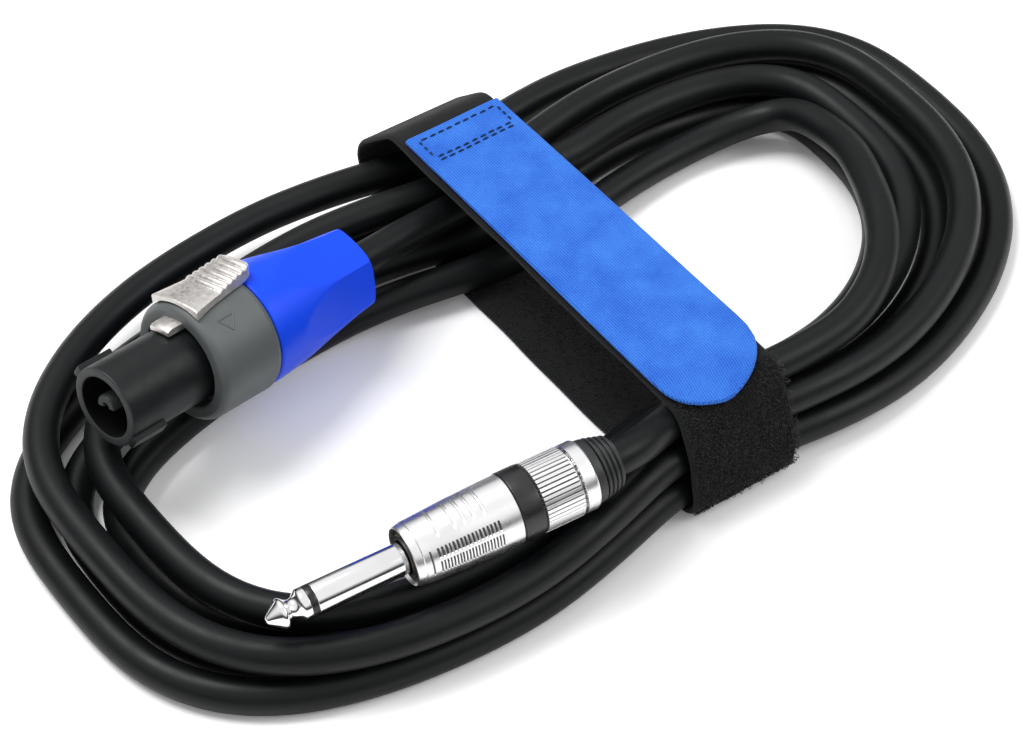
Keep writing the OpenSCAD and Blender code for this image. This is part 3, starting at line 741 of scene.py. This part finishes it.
def make_bushing():
    """The blue bushing: round at the housing, cut by six hollowed grip flats behind."""
    profile = rounded([
        (0.7, 4.3), (0.0, 4.6), (0.0, 8.4), (0.7, 9.7), (3, 10.15), (12, 10.95), (19, 11.85), (26, 12.4),
        (29.2, 12.5), (29.75, 12.35), (29.8, 10.6)
    ], [0, 0.2, 0.6, 0.8, 3, 5, 5, 2, 0.2, 0.1, 0], 5)
    dense = []
    for a, b in zip(profile, profile[1:]):
        count = max(1, int(math.dist(a, b) / 0.4))
        dense += [(a[0] + (b[0] - a[0]) * k / count, a[1] + (b[1] - a[1]) * k / count) for k in range(count)]
    dense.append(profile[-1])
    flats, turn, apex = 6, math.radians(-91), 22.5
    sector = 2 * math.pi / flats

    def radius(x, r, angle):
        if r < 6 or x > apex + 2:
            return r
        off = (angle - turn + sector / 2) % sector - sector / 2
        cut = 12.1 - 0.17 * (apex - x) - 0.65 * math.sin(math.pi * min(max(x / apex, 0), 1))
        flat = cut / math.cos(off)
        k = 0.16            # a soft minimum, so the flats' edges are slightly rounded
        h = max(k - abs(r - flat), 0) / k
        return min(r, flat) - h * h * k / 4

    name, body = "speaker_bushing_grip", "speaker_bushing"
    turned(name, SPEAKER, dense, BLUE, body, "bushing_blue", ("speaker_bushing",), 216, radius, 24)


# ---- jack plug

BOOT_LEN, SMOOTH_LEN, KNURL_LEN, RING_LEN, BARREL_LEN, SHAFT_LEN = 6.5, 3.1, 8.8, 4.6, 22.3, 28.5
NUT_FRONT = BOOT_LEN + SMOOTH_LEN + KNURL_LEN
BARREL_BACK = NUT_FRONT + RING_LEN
BARREL_FRONT = BARREL_BACK + BARREL_LEN
JACK_FRONT = BARREL_FRONT + SHAFT_LEN
JACK_R = 3.175
TIP_LEN, TIP_BAND = 8.4, 1.4


def make_jack_shaft():
    """Tip, insulating ring and sleeve, from the front."""
    f = JACK_FRONT
    tip = rounded([
        (f, 0.01), (f - 0.15, 0.7), (f - 3.1, 3.0), (f - 3.7, 3.0), (f - 4.5, 2.2), (f - 5.4, 1.85),
        (f - 6.1, 2.1), (f - 6.9, 3.0), (f - 7.3, JACK_R), (f - TIP_LEN, JACK_R), (f - TIP_LEN, 1.1)
    ], [0, 0.3, 0.5, 0.5, 0.6, 0.6, 0.6, 0.4, 0.3, 0.1, 0], 5)
    turned("jack_plug_tip", JACK, tip, NICKEL, "root", "bright_nickel", ("jack_tip",), 72)
    ring_back = f - TIP_LEN - TIP_BAND
    ring = rounded([(f - TIP_LEN, 1.1), (f - TIP_LEN, 3.13), (ring_back, 3.13), (ring_back, 1.1)], 0.1, 2)
    turned("jack_ring", JACK, ring, RING_BLACK, "root", "insulator_black", ("jack_insulator",), 72)
    sleeve = rounded([
        (ring_back, 2.2), (ring_back, JACK_R), (BARREL_FRONT + 0.1, JACK_R), (BARREL_FRONT, 2.9),
        (BARREL_FRONT - 2.0, 2.9)
    ], [0, 0.12, 0.1, 0.1, 0], 3)
    turned("jack_shaft", JACK, sleeve, NICKEL, "root", "bright_nickel", ("jack_sleeve",), 72)


def make_barrel():
    """The tapered barrel: grip grooves over the top and under, two rows of engraved bars at the sides."""
    x0, x1 = BARREL_BACK, BARREL_FRONT

    def body(x):
        return float(np.interp(x, [x0, x0 + 3, x0 + 12, x1 - 4, x1], [7.1, 7.05, 6.8, 6.45, 6.3]))

    outline = [(x0 + 0.05, 5.9), (x0 + 0.05, body(x0) - 0.2)]
    last = x1 - 1.9
    count = 250
    outline += [(x0 + 0.25 + (last - x0 - 0.25) * k / count, None) for k in range(count + 1)]
    outline += rounded([
        (last, body(last)), (last + 0.15, body(last) - 0.16), (last + 0.4, body(last) - 0.16),
        (last + 0.55, 6.2), (x1 - 0.25, 5.95), (x1 - 0.1, 5.75), (x1 - 0.9, 5.3), (x1 - 1.2, 4.9),
        (x1 - 1.2, 4.5), (x1 - 0.5, 4.45), (x1 - 0.35, 4.2), (x1 - 0.75, 4.05), (x1 - 0.75, 3.75),
        (x1 - 0.15, 3.7), (x1 - 0.1, 3.55), (x1 - 2.0, 3.5)
    ], 0.14, 3)[1:]
    outline = [(x, body(x) if r is None else r) for x, r in outline]
    grooves, groove_half, groove_reach = (29.4, 31.6, 33.5, 35.5, 39.1), 0.34, 34      # x, mm, degrees
    rows = ((48.5, 65.5, 17), (71.5, 95.5, 21))         # from and to, in degrees, and bars
    panel_from, panel_to = 27.2, 40.5

    def radius(x, r, angle):
        if not x0 + 0.3 < x < last - 0.1:
            return r
        degrees = -math.degrees(angle) % 180            # the pattern repeats on the other side
        from_top = min(degrees, 180 - degrees)
        depth = 0.0
        if from_top < groove_reach:
            fade = 0.20 * (1 - (from_top / groove_reach) ** 4)
            for groove in grooves:
                depth = max(depth, fade * max(0.0, 1 - ((x - groove) / groove_half) ** 2))
        for low, high, bars in rows:
            if low < degrees < high and panel_from < x < panel_to:
                f = (x - panel_from) / (panel_to - panel_from) * bars % 1
                depth = 0.22 if f > 0.5 else 0.0
        if 47.5 < degrees < 95.5 and abs(x - 42) < 0.14:
            depth = 0.2
        return r - depth

    def in_a_bar(x, r, around):
        return x0 + 0.3 < x < last - 0.2 and r < body(x) - 0.12 and 38 < -around % 180 < 142

    name, stands_for = "jack_barrel_shell", ("jack_barrel",)
    barrel = turned(name, JACK, outline, SATIN_NICKEL, "root", "bright_nickel", stands_for, 288, radius, 28)
    # Painted shade: the engraved bars and the barrel's front recess are painted dark for the shade in them
    repaint(barrel, JACK, RECESS_SHADE, in_a_bar)
    repaint(barrel, JACK, RECESS_SHADE, lambda x, r, a: x > x1 - 1.4 and r < 5.5)


def make_coding_ring():
    x0, x1 = NUT_FRONT + 0.1, BARREL_BACK - 0.02
    outline = rounded([(x0, 5.9), (x0, 7.2), (x1, 7.2), (x1, 5.9)], 0.25, 4)
    turned("jack_ring_band", JACK, outline, RING_BLACK, "root", "ring_black", ("jack_coding_ring",), 120)


def make_nut():
    """Knurled nut with a notched groove and a plain collar behind."""
    x_collar, knurl_r, collar_r = BOOT_LEN + SMOOTH_LEN, 7.1, 7.0
    outline = [(NUT_FRONT, 5.9), (NUT_FRONT, 6.75), (NUT_FRONT - 0.35, knurl_r)]
    steps = 24
    span = (NUT_FRONT - 0.4, x_collar + 0.55)
    outline += [(span[0] + (span[1] - span[0]) * k / steps, knurl_r) for k in range(steps + 1)]
    outline += [(x_collar + 0.5, 6.9), (x_collar + 0.2, 6.68), (x_collar, 6.66), (x_collar - 0.2, 6.95)]
    outline += rounded([
        (x_collar - 0.25, collar_r), (BOOT_LEN + 0.35, collar_r), (BOOT_LEN, 6.75), (BOOT_LEN, 5.1)
    ], 0.2, 3)
    flutes, flute_depth, flute_half = 48, 0.26, 0.18

    def radius(x, r, angle):
        if r < knurl_r - 0.05:
            return r
        f = (angle * flutes / (2 * math.pi)) % 1
        edge = min(f, 1 - f)
        return r - flute_depth * max(0.0, 1 - edge / flute_half)

    name, body = "jack_nut_knurled", "jack_nut"
    nut = turned(name, JACK, outline, SATIN_NICKEL, body, "bright_nickel", ("jack_nut",), 480, radius, 30)
    # Painted shade: the knurl grooves and the notched groove are painted dark for the shade in them
    repaint(nut, JACK, RECESS_SHADE, lambda x, r, a: x > x_collar + 0.5 and r < knurl_r - 0.15)
    repaint(nut, JACK, RECESS_SHADE, lambda x, r, a: abs(x - x_collar - 0.1) < 0.2)


def make_boot():
    """The rubber boot: a collar in the nut, and ribs that get smaller towards the cable."""
    profile = [(6.6, 5.0), (6.6, 6.45), (6.4, 6.5), (4.75, 6.35), (4.6, 6.1), (4.5, 5.6)]
    rib = ((0, 0.3), (0.12, 0.04), (0.35, 0), (0.58, 0.04), (0.7, 0.3), (0.85, 0.75))    # back, in
    for k, r in enumerate((6.25, 5.95, 5.65, 5.35)):
        profile += [(4.4 - 1.1 * k - back, r - inwards) for back, inwards in rib]
    outline = rounded(profile + [(0.0, 4.7), (0.0, 3.75), (6.0, 3.72)], 0.1, 2)
    name, body = "jack_boot_ribbed", "jack_nut"
    turned(name, JACK, outline, BOOT_BLACK, body, "boot_rubber", ("jack_boot",), smooth_deg=45)


# ---- tie

# The band is pulled tight round these rolls of cable: y, z, radius, as in part.scad
ROLLS = (
    (-49.9, 5.3, 4.1), (-48.6, 12.9, 4.0), (-44.8, 19.9, 4.1), (50.5, 20.0, 4.0), (57.8, 10.3, 6.6),
    (56.2, 5.2, 4.0)
)


def tie_line(step):
    """The band's inner outline, as evenly spaced points and outward directions in the YZ plane."""
    corners, directions = [], 240
    for k in range(directions):
        a = 2 * math.pi * k / directions
        u = Vector((math.cos(a), math.sin(a)))
        y, z, r = max(ROLLS, key=lambda roll: roll[0] * u.x + roll[1] * u.y + roll[2])
        corners.append(Vector((y, z)) + u * r)
    points = resampled(corners + corners[:1], step)[:-1]
    array = np.array([tuple(p) for p in points])
    for _ in range(2):
        array = 0.5 * array + 0.25 * (np.roll(array, 1, 0) + np.roll(array, -1, 0))
    ahead = np.roll(array, -1, 0) - np.roll(array, 1, 0)
    ahead /= np.linalg.norm(ahead, axis=1)[:, None]
    return array, np.stack([ahead[:, 1], -ahead[:, 0]], 1)


def edge_section(half, thickness, columns):
    """A strip's section, (across, through) going round it, with rounded edges and its underside at 0."""
    r = thickness / 2
    across = [(half - r) * (-1 + 2 * k / columns) for k in range(1, columns)]
    right = [(half - r + r * math.sin(a), r + r * math.cos(a)) for a in (math.pi * k / 4 for k in range(5))]
    left = [(-x, y) for x, y in reversed(right)]
    upper = [(x, thickness) for x in across]
    lower = [(x, 0.0) for x in reversed(across)]
    return upper + right + lower + left


def strip_piece(name, rows, strip, closed, material, body, replaced=()):
    """A piece from rows of points, each row going round the strip's section."""
    n = len(rows[0])
    faces = grid_faces(len(rows), n, closed=True) if closed else capped_faces(len(rows), n)
    mesh = bpy.data.meshes.new(name)
    mesh.from_pydata([Vector(p) * MM for row in rows for p in row], [], faces)
    attribute = mesh.attributes.new(STRIP, "FLOAT_VECTOR", "POINT")
    attribute.data.foreach_set("vector", [c for row in strip for v in row for c in v])
    return finish_piece(name, mesh, material, body, replaced, 60)


def make_band():
    """The black band, wandering slightly from side to side."""
    line, out = tie_line(1.1)
    middle, half = sum(BAND_X) / 2, (BAND_X[1] - BAND_X[0]) / 2
    section = edge_section(half, BAND_T - 0.05, 20)
    rows, strip = [], []
    along, clear = 0.0, 0.02
    for i, (point, normal) in enumerate(zip(line, out)):
        wander = 0.12 * math.sin(along * 0.13) + 0.07 * math.sin(along * 0.31 + 1)
        rows.append([
            (middle + x + wander, point[0] + normal[0] * (t + clear), point[1] + normal[1] * (t + clear))
            for x, t in section
        ])
        strip.append([(x, along, t) for x, t in section])
        along += float(np.linalg.norm(line[(i + 1) % len(line)] - point))
    band = strip_piece("tie_band_loop", rows, strip, True, TAPE_BLACK, "root", ("tie_band",))
    return band, along


# Flap's outline: y, left x, right x, from the sewn end to the rounded tip
FLAP_SIDES = (
    (FLAP_END_Y, -4.1, 19.9), (20, -4.3, 20.1), (-10, -4.55, 20.3), (-34, -4.75, 20.45),
    (-37.5, -4.75, 20.35), (-41, -4.7, 19.5), (-43.5, -4.45, 18.1), (-45.5, -3.7, 16.4),
    (-47.2, -2.3, 14.4), (-48.6, -0.2, 12.0), (-49.6, 2.2, 9.5), (-50.2, 4.4, 7.2)
)


def flap_z(x, y):
    """The flap's upper face: laid flat, with slight waves, its tip bent down."""
    z = FLAP_Z + BAND_T - 0.05
    z -= 0.022 * max(0.0, -43 - y) ** 2
    z += (
        0.05 * math.sin(0.11 * y + 1.2) + 0.04 * math.sin(0.31 * x + 0.07 * y)
        + 0.0015 * (x - 8) * math.sin(0.05 * y)
    )
    return z


def make_flap():
    """The blue flap in one piece, sewn end to tip; it is thicker from the seam to the sewn end."""
    ys, left, right = zip(*reversed(FLAP_SIDES))
    tip_y, tip_len, tip_count, count = -37, 13.2, 26, 100
    stations = [FLAP_END_Y + (tip_y - FLAP_END_Y) * k / count for k in range(count + 1)]
    stations += [tip_y - tip_len * math.sin(math.pi / 2 * k / tip_count) for k in range(1, tip_count + 1)]
    rows, strip = [], []
    for y in stations:
        x0, x1 = float(np.interp(y, ys, left)), float(np.interp(y, ys, right))
        half = (x1 - x0) / 2
        sewn = smooth((y - FLAP_HINGE_Y + 0.5) / 1.5)
        thickness = BAND_T - 0.15 + 0.3 * sewn
        section = edge_section(half, thickness, 26)
        row = []
        for x, t in section:
            px = x0 + half + x
            row.append((px, y + FLAP_SKEW * px, flap_z(px, y) - thickness + t))
        rows.append(row)
        strip.append([(x, y, t) for x, t in section])
    stands_for = ("tie_flap", "tie_flap_end")
    flap = strip_piece("tie_flap_tape", rows, strip, False, TAPE_BLUE, None, stands_for)
    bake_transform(flap)
    return flap


def make_stitches():
    """Dark thread, one row near the sewn end, a doubled row at the hinge, and a few down each side."""
    many = Many()
    rng = random.Random(11)

    def stitch(x, y, dx, dy):
        z = flap_z(x, y) + 0.02
        points = []
        for k in range(7):
            u = -1 + k / 3
            points.append(Vector((x + dx * u, y + dy * u, z + 0.12 * (1 - u * u) - 0.16 * u ** 4)))
        many.tube(points, lambda i: 0.23 * (1 - 0.5 * abs(i / 3 - 1) ** 3), 8)

    inset, across = 2.6, 9
    width = FLAP_X[1] - FLAP_X[0] - 2 * inset
    for y in (FLAP_END_Y - 2.0, FLAP_HINGE_Y + 1.6, FLAP_HINGE_Y + 2.7):
        for k in range(across):
            x = FLAP_X[0] + inset + width * (k + 0.5) / across
            stitch(x + rng.uniform(-0.1, 0.1), y + FLAP_SKEW * x + rng.uniform(-0.08, 0.08), 0.8, 0.05)
    for x in (FLAP_X[0] + inset - 0.3, FLAP_X[1] - inset + 0.3):
        for k in range(3):
            stitch(x, FLAP_HINGE_Y + 4.4 + 1.9 * k, 0.0, 0.62)
    many.piece("tie_stitches", THREAD, "root", "tie_thread", ("tie_stitching",))


def make_hooks():
    """The hook pad under the flap: a thin base with rows of small hooks."""
    many = Many()
    margin, from_hinge, length, base_t = 2.75, 10, 62, 0.1
    x0, x1 = FLAP_X[0] + margin, FLAP_X[1] - margin
    y0, y1 = FLAP_HINGE_Y - from_hinge - length, FLAP_HINGE_Y - from_hinge
    rng = random.Random(5)
    high = FLAP_Z - 0.02
    low = high - base_t
    many.box((x0, x1), (y0, y1), (low, high))
    columns, rows = 14, 44
    for i in range(columns):
        for k in range(rows):
            x = x0 + (x1 - x0) * (i + 0.5) / columns + rng.uniform(-0.12, 0.12)
            y = y0 + (y1 - y0) * (k + 0.5) / rows + rng.uniform(-0.1, 0.1)
            way = 1 if (i + k) % 2 else -1
            points = []
            for j in range(5):
                z = low - 0.23 * math.sin(j * 0.62)
                points.append(Vector((x + 0.05 * way * j * j / 4, y + 0.22 * way * math.sin(j * 0.85), z)))
            many.tube(points, 0.06, 4)
    many.piece("tie_hooks", HOOK_BLACK, "tie_flap", "tie_hooks", ("tie_hook_pad",), 60)


def loop(many, rng, at, normal, across, size, wire):
    """One nylon loop standing on the tape: a small arch leaning a random way."""
    turn = rng.uniform(0, math.pi)
    lean_dir = rng.uniform(0, 2 * math.pi)
    side = normal.cross(across).normalized()
    along = across * math.cos(turn) + side * math.sin(turn)
    drift = (across * math.cos(lean_dir) + side * math.sin(lean_dir)) * (0.45 * size)
    points = []
    steps = 5
    for k in range(steps + 1):
        a = math.pi * k / steps
        on_tape = at + along * (-0.5 * size * math.cos(a))
        points.append(on_tape + normal * (size * (math.sin(a) - 0.12)) + drift * math.sin(a))
    many.tube(points, wire, 3)


def make_pile():
    """Loop pile: coarse on the near outer face, fine on the lower strap, loose at the bottom edge."""
    line, out = tie_line(0.25)
    rng = random.Random(23)
    middle, half = sum(BAND_X) / 2, (BAND_X[1] - BAND_X[0]) / 2
    near = [i for i in range(len(line)) if line[i][0] < -41.5 and (out[i][0] < -0.1 or line[i][0] < -47)]
    coarse, fine, loose = Many(), Many(), Many()
    across, count = Vector((1, 0, 0)), 5200
    for _ in range(count):
        i = rng.choice(near)
        x = middle + rng.uniform(-half + 0.7, half - 0.5)
        normal = Vector((0, *out[i]))
        at = Vector((x, *line[i])) + normal * (BAND_T - 0.05)
        if at.z < 0.25:
            continue
        loop(coarse, rng, at, normal, across, rng.uniform(0.32, 0.62), 0.055)
    low = [i for i in range(len(line)) if line[i][1] < 1.3 and -46 < line[i][0] < 53]
    for _ in range(count):
        i = rng.choice(low)
        x = middle + rng.uniform(-half + 0.4, half - 0.4)
        at = Vector((x, *line[i]))
        loop(fine, rng, at, Vector((0, 0, 1)), across, rng.uniform(0.2, 0.34), 0.045)
    coarse.piece("tie_pile_near", PILE_BLACK, "root", "tie_black", smooth_deg=80)
    fine.piece("tie_pile_low", PILE_BLACK, "root", "tie_black", smooth_deg=80)
    rim = [i for i in range(len(line)) if line[i][0] < -47 and 0.9 < line[i][1] < 3.4]
    for _ in range(110):
        i = rng.choice(rim)
        x = middle + rng.uniform(-half + 0.3, half)
        normal = Vector((0, out[i][0], max(out[i][1], -0.1))).normalized()
        at = Vector((x, *line[i])) + normal * (BAND_T - 0.1)
        loop(loose, rng, at, normal, across, rng.uniform(0.8, 1.35), 0.07)
    right = [i for i in near if line[i][1] > 3]
    for _ in range(50):
        i = rng.choice(right)
        normal = Vector((0.75, out[i][0] * 0.6, out[i][1] * 0.6)).normalized()
        at = Vector((BAND_X[1] - 0.15, line[i][0] + out[i][0] * BAND_T, line[i][1] + out[i][1] * BAND_T))
        loop(loose, rng, at, normal, Vector((0, 1, 0)), rng.uniform(0.6, 1.0), 0.06)
    loose.piece("tie_pile_loose", PILE_LOOSE, "root", "tie_black", smooth_deg=80)


def dress(material, *nodes):
    """A CAD node keeps its shape and takes a material."""
    for name in nodes:
        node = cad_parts[name]
        if node.material_slots:
            for entry in node.material_slots:
                entry.material = material
        else:
            node.data.materials.append(material)


make_camera()
cable, cable_path, cable_length = make_cable()
make_nose()
make_nose_lugs()
make_nose_key()
make_housing()
make_triangle()
make_latch()
make_tongue()
make_bushing()
make_jack_shaft()
make_barrel()
make_coding_ring()
make_nut()
make_boot()
tie_band, band_length = make_band()
tie_flap = make_flap()
make_stitches()
make_hooks()
make_pile()
dress(CORE_RED, "speaker_core_red", "jack_core_red")
dress(CORE_BLACK, "speaker_core_black", "jack_core_black")
dress(BRASS, "speaker_contact_plus", "speaker_contact_minus")
dress(BRASS, "jack_lug_washer", "jack_tip_lug", "jack_sleeve_lug")
dress(STEEL, "speaker_terminal_screws", "speaker_latch_spring")
dress(NATURAL, "speaker_chuck", "jack_chuck")

# ---- floor and light


def direct_rays(tree, paths):
    """1 for camera, glossy and transmission rays."""
    total = paths.outputs["Is Camera Ray"]
    for name in ("Is Glossy Ray", "Is Transmission Ray"):
        inputs = {0: total, 1: paths.outputs[name]}
        total = add_node(tree, "ShaderNodeMath", inputs, operation="MAXIMUM").outputs[0]
    return total


def make_floor():
    """A floor that keeps the shadow, and that direct rays see as white."""
    material = bpy.data.materials.new("floor_white")
    material.use_nodes = True
    tree = material.node_tree
    tree.nodes.clear()
    plain = add_node(tree, "ShaderNodeBsdfDiffuse", {"Color": (0.80, 0.80, 0.80, 1)})
    bright = add_node(tree, "ShaderNodeBsdfDiffuse", {"Color": (1.15, 1.15, 1.15, 1)})
    glow = add_node(tree, "ShaderNodeEmission", {"Strength": 0.06})
    seen = add_node(tree, "ShaderNodeAddShader", {0: bright.outputs[0], 1: glow.outputs[0]})
    direct = direct_rays(tree, add_node(tree, "ShaderNodeLightPath"))
    choose = add_node(tree, "ShaderNodeMixShader", {0: direct, 1: plain.outputs[0], 2: seen.outputs[0]})
    add_node(tree, "ShaderNodeOutputMaterial", {"Surface": choose.outputs[0]})
    half_m, below_m = 4, 0.0001
    mesh = bpy.data.meshes.new("floor")
    corners = [(-half_m, -half_m, 0), (half_m, -half_m, 0), (half_m, half_m, 0), (-half_m, half_m, 0)]
    mesh.from_pydata(corners, [], [(0, 1, 2, 3)])
    mesh.materials.append(material)
    floor = new_object("floor", mesh)
    floor.location.z = -below_m


def make_world():
    """A white world. The metal mirrors a dark band low in it, as polished metal does in a room."""
    world = bpy.data.worlds.new("world")
    bpy.context.scene.world = world
    world.use_nodes = True
    tree = world.node_tree
    paths = add_node(tree, "ShaderNodeLightPath")
    white = add_node(tree, "ShaderNodeMapRange", {"Value": direct_rays(tree, paths), "To Min": 0.5, "To Max": 1.0})
    direction = add_node(tree, "ShaderNodeTexCoord").outputs["Generated"]
    height = add_node(tree, "ShaderNodeSeparateXYZ", {0: direction}).outputs["Z"]
    band = add_node(tree, "ShaderNodeMapRange", {
        "Value": height, "From Min": 0.22, "From Max": 0.5, "To Min": 0.04, "To Max": 1.0
    })
    mirrored = add_node(tree, "ShaderNodeMapRange", {
        "Value": paths.outputs["Is Glossy Ray"], "To Min": 1.0, "To Max": band.outputs["Result"]
    })
    factors = {0: white.outputs["Result"], 1: mirrored.outputs["Result"]}
    strength = add_node(tree, "ShaderNodeMath", factors, operation="MULTIPLY")
    background = tree.nodes["Background"]
    background.inputs["Color"].default_value = (1, 1, 1, 1)
    tree.links.new(strength.outputs[0], background.inputs["Strength"])


def make_light(name, place_m, size_m, energy):
    """An area light turned towards the origin."""
    data = bpy.data.lights.new(name, "AREA")
    data.shape = "RECTANGLE"
    data.size, data.size_y = size_m
    data.energy = energy
    light = new_object(name, data)
    light.location = place_m
    light.rotation_euler = Vector(place_m).to_track_quat("Z", "Y").to_euler()


make_floor()
make_world()
make_light("key", (-0.25, 0.35, 0.9), (0.5, 0.5), 7)
make_light("fill", (0.6, -0.5, 0.7), (0.6, 0.4), 3)

bpy.context.scene.view_settings.view_transform = "Standard"
